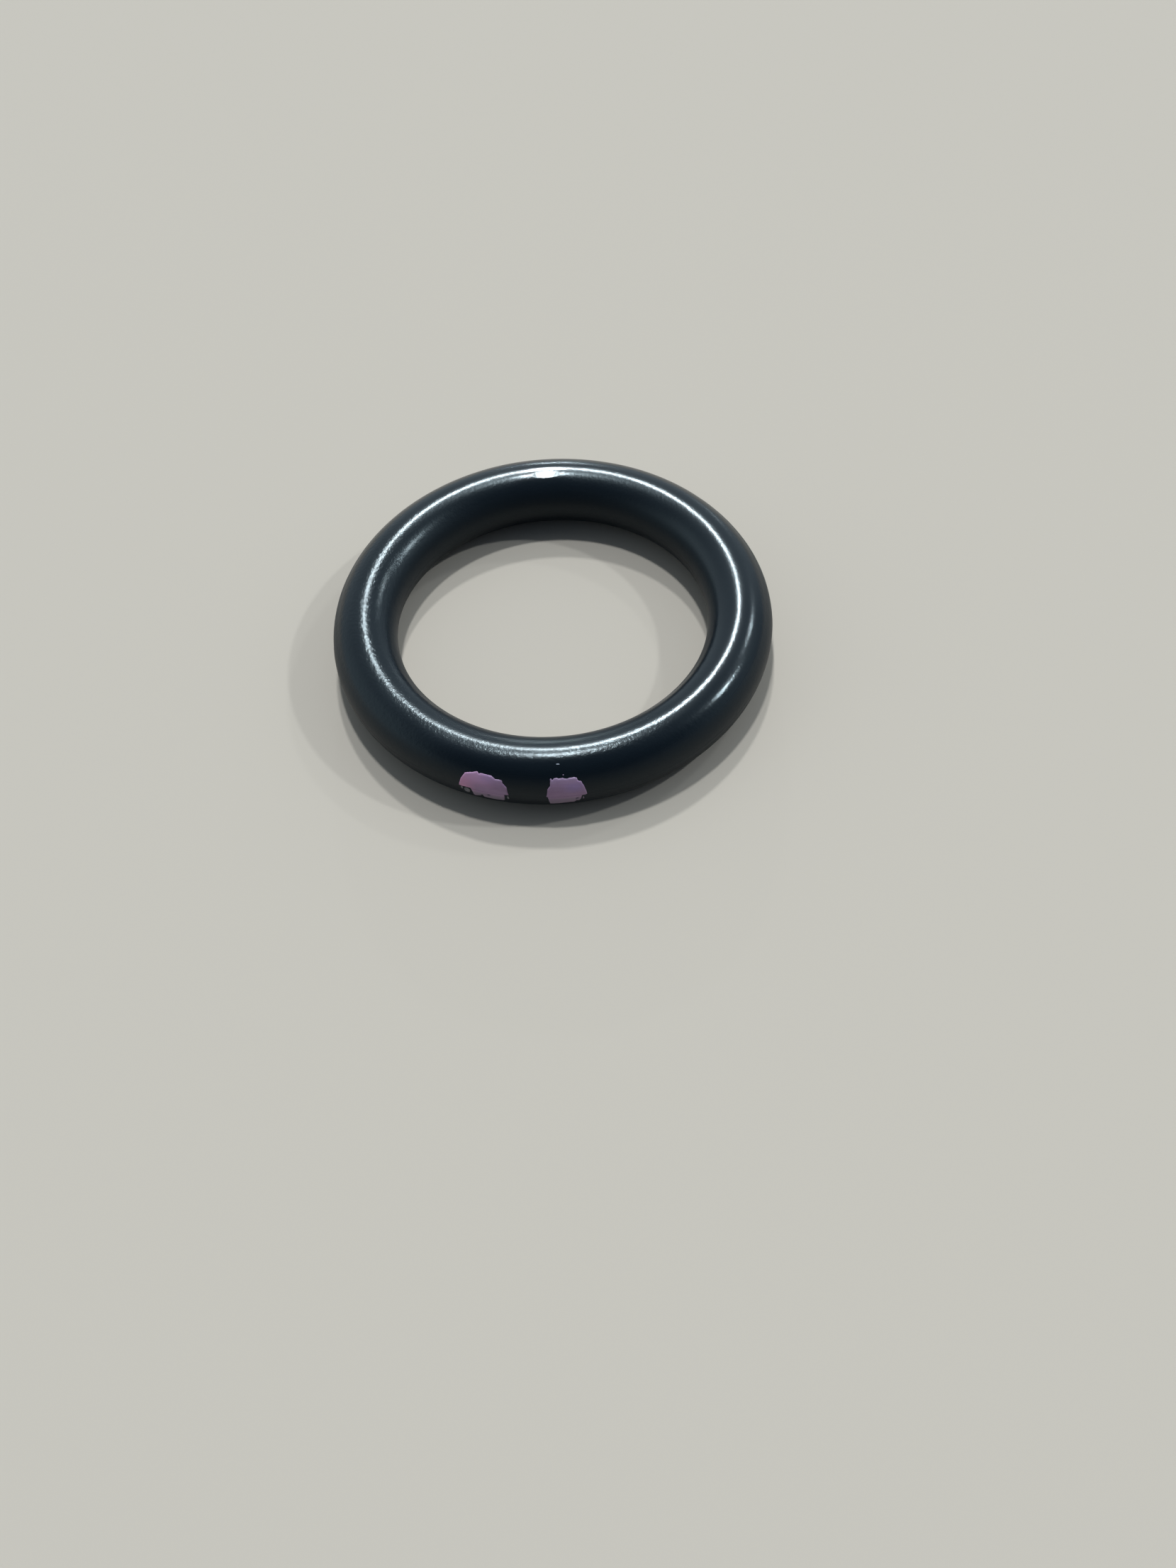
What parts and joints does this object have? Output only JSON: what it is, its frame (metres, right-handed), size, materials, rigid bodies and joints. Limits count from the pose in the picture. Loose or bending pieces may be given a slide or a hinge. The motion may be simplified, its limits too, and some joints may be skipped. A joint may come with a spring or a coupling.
{
  "type": "rubber o-ring",
  "caption": "Round-section black rubber o-ring lying flat, with a moulding line and pink colour-code paint dabs on its outside.",
  "frame": {"origin": "on the surface the ring lies on, under the middle of its hole", "axes": "+Z along the ring's axis, up; the paint marks are on the front, towards -Y; +X to the right of them"},
  "size_m": [0.0242, 0.0242, 0.0035],
  "materials": {
    "rubber": "smooth moulded black nitrile, semi-gloss",
    "paint": "dried pink marking paint, satin"
  },
  "bodies": {
    "root": {"ring": "rubber", "left_paint_mark": "paint", "right_paint_mark": "paint"}
  },
  "joints": []
}
